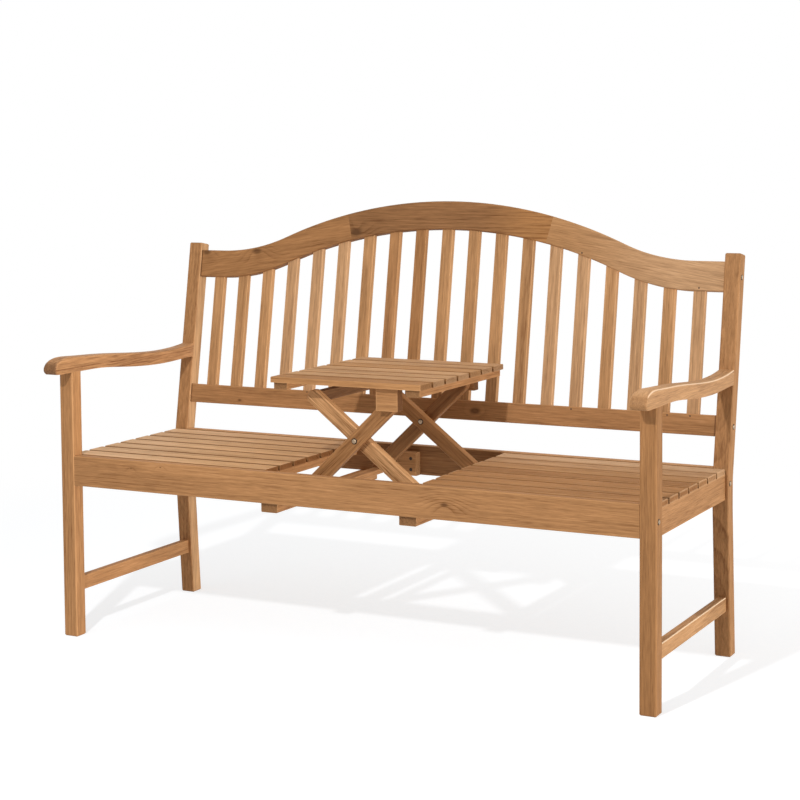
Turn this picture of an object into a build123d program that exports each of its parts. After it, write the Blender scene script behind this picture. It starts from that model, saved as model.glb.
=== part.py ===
from build123d import *
from math import atan, cos, radians, sin, sqrt, tan
import os

# Wooden garden bench with a table that rises out of the middle of the seat.
# Millimetres, +Z up, front towards -Y, origin on the floor under the middle of the bench.

# Overall frame
bench_width = 1500.0
front_y = -276.1
leg_width = 38.0
leg_depth = 36.0
leg_height = 639.0
post_depth = 37.0
leg_rounding = 4.0
timber_rounding = 2.5

# Rear posts: splayed foot, upright at the seat, leaning back above it
seat_depth = 480.0
foot_splay = 23.0
bend_below_rail = 22.0
kink_below_rail_top = 24.0
lean = 9.75
post_lean_length = 513.9

# Joinery
fit = 0.2
tenon_length = 12.0
side_tenon_length = 7.0
tenon_shoulder = 5.0

# Seat rails
rail_height = 72.0
rail_top = 439.0
rail_thickness = 22.0
front_rail_setback = 1.0
rear_rail_setback = 2.0
side_rail_thickness = 22.0
stretcher_bottom = 106.0
stretcher_height = 34.0
stretcher_thickness = 20.0

# Seat
slat_thickness = 13.0
seat_drop = 1.4
seat_slat_count = 7
seat_slat_width = 55.0
slat_rounding = 3.0
seat_slat_clearance = 1.5
rear_slat_clearance = 2.5
opening_gap = 10.0
batten_overhang = 6.0
batten_width = 24.0
fold_clearance = 1.6
bearer_height = 22.0
bearer_width = 42.0
bearer_x = 176.0
bearer_inset = 11.0

# Backrest, measured up the lean from the kink of the posts
back_setback = 4.5
back_rail_thickness = 24.0
lower_rail_low = 94.4
lower_rail_height = 48.0
back_slat_count = 19
back_slat_width = 29.0
back_slat_thickness = 15.0
back_slat_rounding = 1.5
slat_housing = 12.0
crest_top_gap = 19.3
crest_height = 69.6
crest_rise = 134.6
crest_reach = 643.0
crest_split = 458.0
crest_joint_x = 265.0
crest_chamfer = 2.0

# Arms
arm_nose = 62.0
arm_nose_rise = 12.8
arm_chin = 54.0
arm_lip = 54.0
arm_lip_rise = 25.5
arm_brow = 43.0
arm_brow_rise = 31.5
arm_crown = 24.0
arm_crown_rise = 36.0
arm_shoulder = 139.0
arm_shoulder_rise = 30.0
arm_dip = 380.0
arm_dip_rise = 13.0
arm_rear_rise = 20.0
arm_rear_fall = 14.0
arm_belly = 402.0
arm_belly_fall = 17.5
arm_waist = 203.0
arm_waist_fall = 8.0
arm_flat = 80.0
arm_rounding = 5.0

# Folding table: two crossed leg frames
raised_angle = 38.0
outer_angle = 43.5
crossing_x = 8.0
inner_lower_length = 199.8
outer_upper_length = 132.0
outer_lower_length = 176.0
bar_width = 34.0
bar_thickness = 20.0
bar_chamfer = 2.0
outer_front = 80.0
frame_spread = 372.0
side_play = 0.6
inner_crossbar = 24.0
outer_crossbar_width = 29.0
outer_crossbar_height = 12.0
outer_crossbar_drop = 8.8

# Table
table_length = 380.0
table_drop = 50.6
table_batten_width = 34.0
table_batten_height = 16.0
table_batten_inset = 5.0
table_batten_short = 7.0
pivot_block_width = 54.0
pivot_block_height = 52.0
pivot_block_depth = 24.0
stop_block_width = 20.0
stop_block_depth = 40.0
stop_block_height = 52.0
stop_block_x = -48.0
stop_block_y = 276.0

# Blocks on the seat frame
rest_block_left = -83.0
rest_block_right = -30.0
rest_block_thickness = 20.0
rest_block_gap = 0.6
bracket_width = 36.0
bracket_height = 37.0

# Metalwork
bolt_radius = 4.0
bolt_head_radius = 6.0
bolt_head_height = 3.0
bolt_play = 0.3
bolt_depth = 30.0
frame_bolt_length = 78.0
frame_bolt_radius = 3.5
frame_head_radius = 5.5
frame_head_height = 2.0
pin_depth = 18.0
pin_recess = 1.0
screw_radius = 3.0
screw_head_radius = 3.6
screw_head_height = 1.2
screw_length = 16.0
screw_margin = 15.0

# Values that follow from the sizes above
outer_x = bench_width / 2
inner_x = outer_x - leg_width
leg_mid_x = outer_x - leg_width / 2
leg_back_y = front_y + leg_depth
post_y = front_y + seat_depth
foot_y = post_y + foot_splay
lean_sin = sin(radians(lean))
lean_cos = cos(radians(lean))
rail_bottom = rail_top - rail_height
bend_z = rail_bottom - bend_below_rail
kink_z = rail_top - kink_below_rail_top
seat_top = rail_top - seat_drop
seat_low = seat_top - slat_thickness
arm_rear_top = leg_height + arm_rear_rise
arm_rear_low = leg_height - arm_rear_fall
opening_half = table_length / 2 + opening_gap
front_rail_y = (front_y + front_rail_setback, front_y + front_rail_setback + rail_thickness)
rear_rail_y = (post_y + rear_rail_setback, post_y + rear_rail_setback + rail_thickness)
rail_z = (rail_bottom, rail_top)
stretcher_z = (stretcher_bottom, stretcher_bottom + stretcher_height)
slat_front = leg_back_y + seat_slat_clearance
slat_back = post_y - rear_slat_clearance
slat_step = (slat_back - slat_front - seat_slat_width) / (seat_slat_count - 1)
back_gap = (2 * inner_x - back_slat_count * back_slat_width) / (back_slat_count + 1)
back_step = back_gap + back_slat_width
crest_low = post_lean_length - crest_top_gap - crest_height
crest_turn = 2 * atan(crest_rise / crest_reach)
crown_radius = crest_split / sin(crest_turn)
hollow_radius = (crest_reach - crest_split) / sin(crest_turn)
crest_joint_flare = 1 + crest_height / crown_radius
alpha = radians(raised_angle)
beta = radians(outer_angle)
pivot_z = seat_top - table_drop
batten_low = pivot_z + bar_width / 2 + fold_clearance
crossing_z = pivot_z + inner_lower_length * sin(alpha)
hinge_x = crossing_x + inner_lower_length * cos(alpha)
table_pivot_x = crossing_x + outer_upper_length * cos(beta)
table_pivot_z = crossing_z + outer_upper_length * sin(beta)
table_x = table_pivot_x - (hinge_x - inner_lower_length + outer_upper_length)
inner_upper_length = outer_upper_length * sin(beta) / sin(alpha)
table_top = table_pivot_z + table_drop
table_low = table_top - slat_thickness
outer_y = (front_y + outer_front, front_y + outer_front + bar_thickness)
inner_y = (outer_y[1] + side_play, outer_y[1] + side_play + bar_thickness)
rear_outer_y = (outer_y[0] + frame_spread - bar_thickness, outer_y[0] + frame_spread)
rear_inner_y = (rear_outer_y[0] - side_play - bar_thickness, rear_outer_y[0] - side_play)
front_block_y = (outer_y[0] - side_play - pivot_block_depth, outer_y[0] - side_play)
rear_block_y = (rear_outer_y[1] + side_play, rear_outer_y[1] + side_play + pivot_block_depth)

# The plane of the backrest: its x runs along the bench, its y up the lean, its z to the front
back_plane = Plane(
    origin=(0, post_y, kink_z),
    x_dir=(1, 0, 0),
    z_dir=(0, -lean_cos, lean_sin),
)
back_rear = back_plane.offset(-back_setback - back_rail_thickness)
back_mid = back_plane.offset(-back_setback - back_rail_thickness / 2)

os.makedirs("parts", exist_ok=True)


def save(part, name):
    part.label = name
    export_step(part, f"parts/{name}.step")


def middle(span):
    return (span[0] + span[1]) / 2


def length(span):
    return span[1] - span[0]


def span_box(x, y, z, grow=0.0, mode=Mode.ADD):
    with Locations((middle(x), middle(y), middle(z))):
        Box(length(x) + 2 * grow, length(y) + 2 * grow, length(z) + 2 * grow, mode=mode)


def round_hole(plane, radius, depth, mode=Mode.SUBTRACT):
    with Locations(plane):
        Cylinder(radius, depth, align=(Align.CENTER, Align.CENTER, Align.MIN), mode=mode)


def plain_timber(x, y, z, axis, rounding):
    with BuildPart() as timber:
        span_box(x, y, z)
        fillet(timber.edges().filter_by(axis), rounding)
    return timber.part


def shrink(span, amount):
    return (span[0] + amount, span[1] - amount)


def flip(span, side):
    return (min(span[0] * side, span[1] * side), max(span[0] * side, span[1] * side))


def post_front(z):
    if z < bend_z:
        return foot_y - foot_splay * z / bend_z
    if z < kink_z:
        return post_y
    return post_y + (z - kink_z) * tan(radians(lean))


def crest_lift(x):
    distance = abs(x)
    if distance >= crest_reach:
        return 0.0
    if distance >= crest_split:
        return hollow_radius - sqrt(hollow_radius**2 - (crest_reach - distance) ** 2)
    return crest_rise - crown_radius + sqrt(crown_radius**2 - distance**2)


# Tenons: the rails run into the legs and posts, the side pieces into their front and rear faces
rail_tenon_x = (inner_x, inner_x + tenon_length)
front_rail_tenon = (rail_tenon_x, shrink(front_rail_y, tenon_shoulder), shrink(rail_z, tenon_shoulder))
rear_rail_tenon = (rail_tenon_x, shrink(rear_rail_y, tenon_shoulder), shrink(rail_z, tenon_shoulder))
side_rail_x = (leg_mid_x - side_rail_thickness / 2, leg_mid_x + side_rail_thickness / 2)
side_tenon_x = shrink(side_rail_x, tenon_shoulder)
side_tenon_z = (rail_bottom + tenon_shoulder, kink_z - tenon_shoulder)
side_tenon_front = (leg_back_y - tenon_length, leg_back_y)
side_tenon_rear = (post_y, post_y + side_tenon_length)
stretcher_x = (leg_mid_x - stretcher_thickness / 2, leg_mid_x + stretcher_thickness / 2)
stretcher_tenon_x = shrink(stretcher_x, tenon_shoulder)
stretcher_tenon_z = shrink(stretcher_z, tenon_shoulder)
stretcher_end = post_front(middle(stretcher_z))
stretcher_tenon_rear = (stretcher_end - tenon_length / 2, stretcher_end + tenon_length)
arm_tenon_x = (inner_x + 2 * tenon_shoulder, outer_x - 2 * tenon_shoulder)
leg_tenon_y = (front_y + 2 * tenon_shoulder, leg_back_y - 2 * tenon_shoulder)
leg_tenon_z = (leg_height, leg_height + tenon_length)
arm_z = (arm_rear_low, arm_rear_top)
arm_end = post_front(middle(arm_z))
arm_tenon_y = (arm_end - tenon_length / 2, arm_end + tenon_length)
arm_tenon_z = shrink(arm_z, 2 * tenon_shoulder)

# Bolt lines through the legs and posts into the rail ends
front_bolt = (middle(front_rail_y), middle(rail_z))
rear_bolt = (middle(rear_rail_y), middle(rail_z))
lower_rail_mid = lower_rail_low + lower_rail_height / 2
crest_mid = crest_low + crest_height / 2
lower_point = back_mid.from_local_coords((0, lower_rail_mid, 0))
crest_point = back_mid.from_local_coords((0, crest_mid, 0))
lower_bolt = (lower_point.Y, lower_point.Z)
crest_bolt = (crest_point.Y, crest_point.Z)


def bolt_plane(spot, side):
    return Plane(origin=(side * outer_x, spot[0], spot[1]), x_dir=(0, 1, 0), z_dir=(-side, 0, 0))


def bolt_hole(spot, side):
    round_hole(bolt_plane(spot, side), frame_bolt_radius + bolt_play, frame_bolt_length + bolt_play)


def lean_tenon(side, low, height, grow, mode):
    with Locations(back_mid * Pos(side * middle(rail_tenon_x), low + height / 2, 0)):
        Box(
            tenon_length + 2 * grow,
            height - 2 * tenon_shoulder + 2 * grow,
            back_rail_thickness - 2 * tenon_shoulder + 2 * grow,
            mode=mode,
        )


def front_leg(side):
    with BuildPart() as leg:
        span_box(flip((inner_x, outer_x), side), (front_y, leg_back_y), (0, leg_height))
        fillet(leg.edges().filter_by(Axis.Z), leg_rounding)
        chamfer(leg.faces().sort_by(Axis.Z)[0].edges(), timber_rounding)
        span_box(flip(arm_tenon_x, side), leg_tenon_y, leg_tenon_z)
        span_box(flip(front_rail_tenon[0], side), *front_rail_tenon[1:], fit, Mode.SUBTRACT)
        span_box(flip(side_tenon_x, side), side_tenon_front, side_tenon_z, fit, Mode.SUBTRACT)
        span_box(flip(stretcher_tenon_x, side), side_tenon_front, stretcher_tenon_z, fit, Mode.SUBTRACT)
        bolt_hole(front_bolt, side)
    return leg.part


def rear_post(side):
    post_x = flip((inner_x, outer_x), side)
    top_y = post_y + post_lean_length * lean_sin
    top_z = kink_z + post_lean_length * lean_cos
    back_kink_z = kink_z - post_depth * tan(radians(lean) / 2)
    with BuildPart() as post:
        with BuildSketch(Plane.YZ.offset(post_x[0])):
            with BuildLine():
                Polyline(
                    (foot_y, 0),
                    (post_y, bend_z),
                    (post_y, kink_z),
                    (top_y, top_z),
                    (top_y + post_depth * lean_cos, top_z - post_depth * lean_sin),
                    (post_y + post_depth, back_kink_z),
                    (post_y + post_depth, bend_z),
                    (foot_y + post_depth, 0),
                    close=True,
                )
            make_face()
        extrude(amount=leg_width)
        long_edges = post.edges().filter_by(lambda edge: edge.length > leg_width + leg_rounding)
        top_edges = post.faces().sort_by(Axis.Z)[-1].edges()
        fillet(long_edges + top_edges, leg_rounding)
        chamfer(post.faces().sort_by(Axis.Z)[0].edges(), timber_rounding)
        span_box(flip(rear_rail_tenon[0], side), *rear_rail_tenon[1:], fit, Mode.SUBTRACT)
        span_box(flip(side_tenon_x, side), side_tenon_rear, side_tenon_z, fit, Mode.SUBTRACT)
        span_box(flip(stretcher_tenon_x, side), stretcher_tenon_rear, stretcher_tenon_z, fit, Mode.SUBTRACT)
        span_box(flip(arm_tenon_x, side), arm_tenon_y, arm_tenon_z, fit, Mode.SUBTRACT)
        lean_tenon(side, lower_rail_low, lower_rail_height, fit, Mode.SUBTRACT)
        lean_tenon(side, crest_low, crest_height, fit, Mode.SUBTRACT)
        bolt_hole(rear_bolt, side)
        bolt_hole(lower_bolt, side)
        bolt_hole(crest_bolt, side)
    return post.part


def arm(side):
    arm_x = flip((inner_x, outer_x), side)
    with BuildPart() as rest:
        with BuildSketch(Plane.YZ.offset(arm_x[0])):
            with BuildLine():
                Spline(
                    (front_y - arm_chin, leg_height),
                    (front_y - arm_nose, leg_height + arm_nose_rise),
                    (front_y - arm_lip, leg_height + arm_lip_rise),
                    (front_y - arm_brow, leg_height + arm_brow_rise),
                    (front_y + arm_crown, leg_height + arm_crown_rise),
                    (front_y + arm_shoulder, leg_height + arm_shoulder_rise),
                    (front_y + arm_dip, leg_height + arm_dip_rise),
                    (post_front(arm_rear_top), arm_rear_top),
                )
                Line((post_front(arm_rear_top), arm_rear_top), (post_front(arm_rear_low), arm_rear_low))
                Spline(
                    (post_front(arm_rear_low), arm_rear_low),
                    (front_y + arm_belly, leg_height - arm_belly_fall),
                    (front_y + arm_waist, leg_height - arm_waist_fall),
                    (front_y + arm_flat, leg_height),
                    tangents=((-1, 0), (-1, 0)),
                )
                Line((front_y + arm_flat, leg_height), (front_y - arm_chin, leg_height))
            make_face()
        extrude(amount=leg_width)
        top_edges = rest.edges().filter_by(GeomType.BSPLINE).group_by(Axis.Z)[-1]
        fillet(top_edges, arm_rounding)
        span_box(flip(arm_tenon_x, side), arm_tenon_y, arm_tenon_z)
        span_box(flip(arm_tenon_x, side), leg_tenon_y, leg_tenon_z, fit, Mode.SUBTRACT)
    return rest.part


def side_rail(side):
    rail_x = flip(side_rail_x, side)
    with BuildPart() as rail:
        with BuildSketch(Plane.YZ.offset(rail_x[0])):
            with BuildLine():
                Polyline(
                    (leg_back_y, rail_bottom),
                    (post_y, rail_bottom),
                    (post_y, kink_z),
                    (post_front(seat_low), seat_low),
                    (leg_back_y, seat_low),
                    close=True,
                )
            make_face()
        extrude(amount=side_rail_thickness)
        span_box(flip(side_tenon_x, side), side_tenon_front, side_tenon_z)
        span_box(flip(side_tenon_x, side), side_tenon_rear, side_tenon_z)
    return rail.part


def side_stretcher(side):
    rail_x = flip(stretcher_x, side)
    with BuildPart() as rail:
        with BuildSketch(Plane.YZ.offset(rail_x[0])):
            with BuildLine():
                Polyline(
                    (leg_back_y, stretcher_z[0]),
                    (post_front(stretcher_z[0]), stretcher_z[0]),
                    (post_front(stretcher_z[1]), stretcher_z[1]),
                    (leg_back_y, stretcher_z[1]),
                    close=True,
                )
            make_face()
        extrude(amount=stretcher_thickness)
        fillet(rail.edges().filter_by(Axis.Y), timber_rounding)
        span_box(flip(stretcher_tenon_x, side), side_tenon_front, stretcher_tenon_z)
        span_box(flip(stretcher_tenon_x, side), stretcher_tenon_rear, stretcher_tenon_z)
    return rail.part


for side, side_name in ((-1, "left"), (1, "right")):
    save(front_leg(side), f"front_leg_{side_name}")
    save(rear_post(side), f"rear_post_{side_name}")
    save(arm(side), f"arm_{side_name}")
    save(side_rail(side), f"side_seat_rail_{side_name}")
    save(side_stretcher(side), f"side_stretcher_{side_name}")

# Long seat rails
with BuildPart() as front_seat_rail:
    span_box((-inner_x, inner_x), front_rail_y, rail_z)
    fillet(front_seat_rail.edges().filter_by(Axis.X), timber_rounding)
    for side in (-1, 1):
        span_box(flip(front_rail_tenon[0], side), *front_rail_tenon[1:])
        bolt_hole(front_bolt, side)
save(front_seat_rail.part, "front_seat_rail")

with BuildPart() as rear_seat_rail:
    span_box((-inner_x, inner_x), rear_rail_y, rail_z)
    fillet(rear_seat_rail.edges().filter_by(Axis.X), timber_rounding)
    for side in (-1, 1):
        span_box(flip(rear_rail_tenon[0], side), *rear_rail_tenon[1:])
        bolt_hole(rear_bolt, side)
save(rear_seat_rail.part, "rear_seat_rail")

# Backrest
back_slat_xs = [(index - (back_slat_count - 1) / 2) * back_step for index in range(back_slat_count)]
lower_rail_high = lower_rail_low + lower_rail_height


def slat_housings(xs, low, high):
    for x in xs:
        with Locations(back_mid * Pos(x, (low(x) + high(x)) / 2, 0)):
            Box(
                back_slat_width + 2 * fit,
                high(x) - low(x),
                back_slat_thickness + 2 * fit,
                mode=Mode.SUBTRACT,
            )


with BuildPart() as lower_back_rail:
    with BuildSketch(back_rear):
        with Locations((0, lower_rail_mid)):
            Rectangle(2 * inner_x, lower_rail_height)
    extrude(amount=back_rail_thickness)
    fillet(lower_back_rail.edges().filter_by(Axis.X), timber_rounding)
    for side in (-1, 1):
        lean_tenon(side, lower_rail_low, lower_rail_height, 0, Mode.ADD)
        bolt_hole(lower_bolt, side)
    slat_housings(
        back_slat_xs,
        lambda x: lower_rail_high - slat_housing - fit,
        lambda x: lower_rail_high + slat_housing,
    )
save(lower_back_rail.part, "lower_back_rail")


def crest_curve(low, low_x, high_x):
    bends = (-crest_reach, -crest_split, crest_split, crest_reach)
    breaks = [x for x in bends if low_x < x < high_x]
    spots = [low_x] + breaks + [high_x]
    for start, end in zip(spots, spots[1:]):
        points = [(x, low + crest_lift(x)) for x in (start, (start + end) / 2, end)]
        if min(abs(start), abs(end)) >= crest_reach:
            Line(points[0], points[2])
        else:
            ThreePointArc(*points)


def crest_piece(low_x, high_x):
    top_xs = [x if abs(x) == inner_x else x * crest_joint_flare for x in (low_x, high_x)]
    with BuildPart() as crest:
        with BuildSketch(back_rear):
            with BuildLine():
                crest_curve(crest_low, low_x, high_x)
                crest_curve(crest_low + crest_height, *top_xs)
                for low_end, top_end in zip((low_x, high_x), top_xs):
                    Line(
                        (low_end, crest_low + crest_lift(low_end)),
                        (top_end, crest_low + crest_height + crest_lift(top_end)),
                    )
            make_face()
        extrude(amount=back_rail_thickness)
        long_edges = crest.edges().filter_by(GeomType.CIRCLE) + crest.edges().filter_by(Axis.X)
        chamfer(long_edges, crest_chamfer)
        for side, end in ((-1, low_x), (1, high_x)):
            if abs(end) == inner_x:
                lean_tenon(side, crest_low, crest_height, 0, Mode.ADD)
                bolt_hole(crest_bolt, side)
        slat_housings(
            [x for x in back_slat_xs if low_x < x < high_x],
            lambda x: crest_low - slat_housing,
            lambda x: crest_low + crest_lift(x) + slat_housing + fit,
        )
    return crest.part


save(crest_piece(-inner_x, -crest_joint_x), "crest_rail_left")
save(crest_piece(-crest_joint_x, crest_joint_x), "crest_rail_centre")
save(crest_piece(crest_joint_x, inner_x), "crest_rail_right")


def back_slat_pair(x):
    low = lower_rail_high - slat_housing
    high = crest_low + crest_lift(x) + slat_housing
    spots = (-x, x) if x > back_slat_width else (x,)
    with BuildPart() as slats:
        with BuildSketch(back_mid.offset(-back_slat_thickness / 2)):
            with Locations(*[(spot, (low + high) / 2) for spot in spots]):
                Rectangle(back_slat_width, high - low)
        extrude(amount=back_slat_thickness)
        fillet(slats.edges().filter_by(lambda edge: edge.length > 2 * back_slat_width), back_slat_rounding)
    return slats.part


for number, x in enumerate(back_slat_xs[back_slat_count // 2:]):
    save(back_slat_pair(x), f"back_slats_{number}")

# Seat slats, left and right of the opening
slat_ys = [slat_front + index * slat_step for index in range(seat_slat_count)]
seat_slat_x = (opening_half, side_rail_x[1])

for number, y in enumerate(slat_ys, 1):
    with BuildPart() as seat_slats:
        for side in (-1, 1):
            span_box(flip(seat_slat_x, side), (y, y + seat_slat_width), (seat_low, seat_top))
        fillet(seat_slats.edges().filter_by(Axis.X).group_by(Axis.Z)[-1], slat_rounding)
    save(seat_slats.part, f"seat_slats_{number}")

# Battens under the slat ends at the opening, and bearers under the long rails
batten_x = (opening_half + batten_overhang, opening_half + batten_overhang + batten_width)
between_rails = (front_rail_y[1], rear_rail_y[0])
bearer_span = (bearer_x - bearer_width / 2, bearer_x + bearer_width / 2)
bearer_y = (front_rail_y[0] + bearer_inset, rear_rail_y[1] - bearer_inset)

with BuildPart() as seat_battens:
    for side in (-1, 1):
        span_box(flip(batten_x, side), between_rails, (batten_low, seat_low))
save(seat_battens.part, "seat_battens")

with BuildPart() as bearers:
    for side in (-1, 1):
        span_box(flip(bearer_span, side), bearer_y, (rail_bottom - bearer_height, rail_bottom))
    fillet(bearers.edges().filter_by(Axis.Y).group_by(Axis.Z)[0], timber_rounding)
save(bearers.part, "bearers")

# Rest blocks on the long rails, under the folded table
rest_x = (rest_block_left, rest_block_right)
rest_z = (rail_bottom, seat_low - rest_block_gap)
rear_rest_y = (rear_rail_y[0] - rest_block_thickness, rear_rail_y[0])
front_rest_y = (front_rail_y[1], front_rail_y[1] + rest_block_thickness)
screw_x = rest_block_right - screw_margin
screw_zs = (rest_z[0] + screw_margin, rest_z[1] - screw_margin)

with BuildPart() as rest_blocks:
    for block_y in (front_rest_y, rear_rest_y):
        span_box(rest_x, block_y, rest_z)
    for z in screw_zs:
        for y, facing in ((front_rest_y[1], 1), (rear_rest_y[0], -1)):
            face = Plane(origin=(screw_x, y, z), z_dir=(0, -facing, 0))
            round_hole(face, screw_radius + bolt_play, screw_length + bolt_play)
save(rest_blocks.part, "rest_blocks")

# Brackets that carry the fixed pivots of the inner frame, behind the front rail and before the rear one
bracket_x = (hinge_x - bracket_width / 2, hinge_x + bracket_width / 2)
bracket_z = (rail_bottom, rail_bottom + bracket_height)
front_bracket_y = (front_rail_y[1], inner_y[0] - side_play)
rear_bracket_y = (rear_inner_y[1] + side_play, rear_rail_y[0])


def cross_plane(x, y, z, facing):
    return Plane(origin=(x, y, z), x_dir=(1, 0, 0), z_dir=(0, facing, 0))


with BuildPart() as hinge_brackets:
    for block_y in (front_bracket_y, rear_bracket_y):
        span_box(bracket_x, block_y, bracket_z)
    for y, facing in ((front_bracket_y[1], -1), (rear_bracket_y[0], 1)):
        round_hole(cross_plane(hinge_x, y, pivot_z, facing), bolt_radius + bolt_play, bolt_depth)
save(hinge_brackets.part, "hinge_brackets")


def leg_bar(start, end, y, holes):
    run = end - start
    with BuildPart() as bar:
        slope = Plane(origin=(start.X, y[1], start.Z), x_dir=(run.X, 0, run.Z), z_dir=(0, -1, 0))
        with BuildSketch(slope):
            with Locations((run.length / 2, 0)):
                SlotCenterToCenter(run.length, bar_width)
            with Locations(*[(distance, 0) for distance in holes]):
                Circle(bolt_radius + bolt_play, mode=Mode.SUBTRACT)
        extrude(amount=bar_thickness)
        chamfer(bar.edges().filter_by(lambda edge: edge.length > bar_width), bar_chamfer)
    return bar.part


hinge_point = Vector(hinge_x, 0, pivot_z)
crossing_point = Vector(crossing_x, 0, crossing_z)
inner_run = Vector(-cos(alpha), 0, sin(alpha))
outer_run = Vector(cos(beta), 0, sin(beta))
inner_end = crossing_point + inner_run * inner_upper_length
outer_foot = crossing_point - outer_run * outer_lower_length
table_point = crossing_point + outer_run * outer_upper_length

save(leg_bar(hinge_point, inner_end, inner_y, (0, inner_lower_length)), "inner_leg_front")
save(leg_bar(hinge_point, inner_end, rear_inner_y, (0, inner_lower_length)), "inner_leg_rear")
outer_holes = (outer_lower_length, outer_lower_length + outer_upper_length)
save(leg_bar(outer_foot, table_point, outer_y, outer_holes), "outer_leg_front")
save(leg_bar(outer_foot, table_point, rear_outer_y, outer_holes), "outer_leg_rear")

half_bar = inner_crossbar / 2
crossbar_z = outer_foot.Z - outer_crossbar_drop
save(
    plain_timber(
        (inner_end.X - half_bar, inner_end.X + half_bar),
        (inner_y[1], rear_inner_y[0]),
        (inner_end.Z - half_bar, inner_end.Z + half_bar),
        Axis.Y,
        timber_rounding,
    ),
    "inner_crossbar",
)
save(
    plain_timber(
        (outer_foot.X - outer_crossbar_width / 2, outer_foot.X + outer_crossbar_width / 2),
        (outer_y[1], rear_outer_y[0]),
        (crossbar_z - outer_crossbar_height / 2, crossbar_z + outer_crossbar_height / 2),
        Axis.Y,
        timber_rounding,
    ),
    "outer_crossbar",
)

# Table
table_span = (table_x - table_length / 2, table_x + table_length / 2)

for number, y in enumerate(slat_ys, 1):
    with BuildPart() as table_slat:
        span_box(table_span, (y, y + seat_slat_width), (table_low, table_top))
        fillet(table_slat.edges().filter_by(Axis.X).group_by(Axis.Z)[-1], slat_rounding)
    save(table_slat.part, f"table_slat_{number}")

with BuildPart() as table_battens:
    for side in (-1, 1):
        edge = table_length / 2 - table_batten_inset
        span = flip((edge - table_batten_width, edge), side)
        span_box(
            (table_x + span[0], table_x + span[1]),
            (slat_front + table_batten_short, slat_back - table_batten_short),
            (table_low - table_batten_height, table_low),
        )
    fillet(table_battens.edges().filter_by(Axis.Y).group_by(Axis.Z)[0], timber_rounding)
save(table_battens.part, "table_battens")

block_x = (table_pivot_x - pivot_block_width / 2, table_pivot_x + pivot_block_width / 2)
block_z = (table_low - pivot_block_height, table_low)

with BuildPart() as table_pivot_blocks:
    for block_y in (front_block_y, rear_block_y):
        span_box(block_x, block_y, block_z)
    for y, facing in ((front_block_y[1], -1), (rear_block_y[0], 1)):
        hole_depth = pin_depth + bolt_play
        round_hole(cross_plane(table_pivot_x, y, table_pivot_z, facing), bolt_radius + bolt_play, hole_depth)
save(table_pivot_blocks.part, "table_pivot_blocks")

with BuildPart() as table_stop_block:
    span_box(
        (stop_block_x - stop_block_width / 2, stop_block_x + stop_block_width / 2),
        (front_y + stop_block_y, front_y + stop_block_y + stop_block_depth),
        (table_low - stop_block_height, table_low),
    )
save(table_stop_block.part, "table_stop_block")

# Metalwork
with BuildPart() as frame_bolts:
    for side in (-1, 1):
        for spot in (front_bolt, rear_bolt, lower_bolt, crest_bolt):
            round_hole(bolt_plane(spot, side), frame_bolt_radius, frame_bolt_length, Mode.ADD)
            head = bolt_plane(spot, side).offset(-frame_head_height)
            round_hole(head, frame_head_radius, frame_head_height, Mode.ADD)
save(frame_bolts.part, "frame_bolts")

with BuildPart() as block_screws:
    for z in screw_zs:
        for y, facing in ((front_rest_y[1], 1), (rear_rest_y[0], -1)):
            face = Plane(origin=(screw_x, y, z), z_dir=(0, -facing, 0))
            round_hole(face, screw_radius, screw_length, Mode.ADD)
            round_hole(face.offset(-screw_head_height), screw_head_radius, screw_head_height, Mode.ADD)
save(block_screws.part, "block_screws")


def through_bolt(x, z, y, facing, shank, nut):
    face = cross_plane(x, y, z, facing)
    round_hole(face, bolt_radius, shank, Mode.ADD)
    round_hole(face.offset(-bolt_head_height), bolt_head_radius, bolt_head_height, Mode.ADD)
    if nut:
        round_hole(face.offset(shank), bolt_head_radius, bolt_head_height, Mode.ADD)


pair_thickness = 2 * bar_thickness + side_play

with BuildPart() as crossing_bolts:
    through_bolt(crossing_x, crossing_z, outer_y[0], 1, pair_thickness, True)
    through_bolt(crossing_x, crossing_z, rear_inner_y[0], 1, pair_thickness, True)
save(crossing_bolts.part, "crossing_bolts")

with BuildPart() as hinge_bolts:
    hinge_shank = bar_thickness + side_play + bolt_depth - bolt_play
    through_bolt(hinge_x, pivot_z, inner_y[1], -1, hinge_shank, False)
    through_bolt(hinge_x, pivot_z, rear_inner_y[0], 1, hinge_shank, False)
save(hinge_bolts.part, "hinge_bolts")

with BuildPart() as table_pivot_pins:
    pin_length = bar_thickness - pin_recess + side_play + pin_depth
    for y, facing in ((outer_y[1] - pin_recess, -1), (rear_outer_y[0] + pin_recess, 1)):
        round_hole(cross_plane(table_pivot_x, y, table_pivot_z, facing), bolt_radius, pin_length, Mode.ADD)
save(table_pivot_pins.part, "table_pivot_pins")
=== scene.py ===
import bmesh
import bpy
import math
import random
from mathutils import Matrix, Vector


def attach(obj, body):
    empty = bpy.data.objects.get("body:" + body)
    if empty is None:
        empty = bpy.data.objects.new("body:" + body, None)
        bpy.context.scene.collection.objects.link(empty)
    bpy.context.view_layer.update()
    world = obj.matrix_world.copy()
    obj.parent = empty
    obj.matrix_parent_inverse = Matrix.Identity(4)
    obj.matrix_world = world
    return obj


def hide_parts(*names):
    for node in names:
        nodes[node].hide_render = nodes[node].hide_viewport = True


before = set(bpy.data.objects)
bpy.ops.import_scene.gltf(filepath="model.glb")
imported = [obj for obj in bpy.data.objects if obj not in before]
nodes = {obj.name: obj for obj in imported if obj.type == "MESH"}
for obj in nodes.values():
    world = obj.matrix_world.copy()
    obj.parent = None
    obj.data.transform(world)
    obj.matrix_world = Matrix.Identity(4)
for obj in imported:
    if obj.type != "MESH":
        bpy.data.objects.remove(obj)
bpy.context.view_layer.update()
print("frame loaded:", len(nodes), "nodes")


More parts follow.
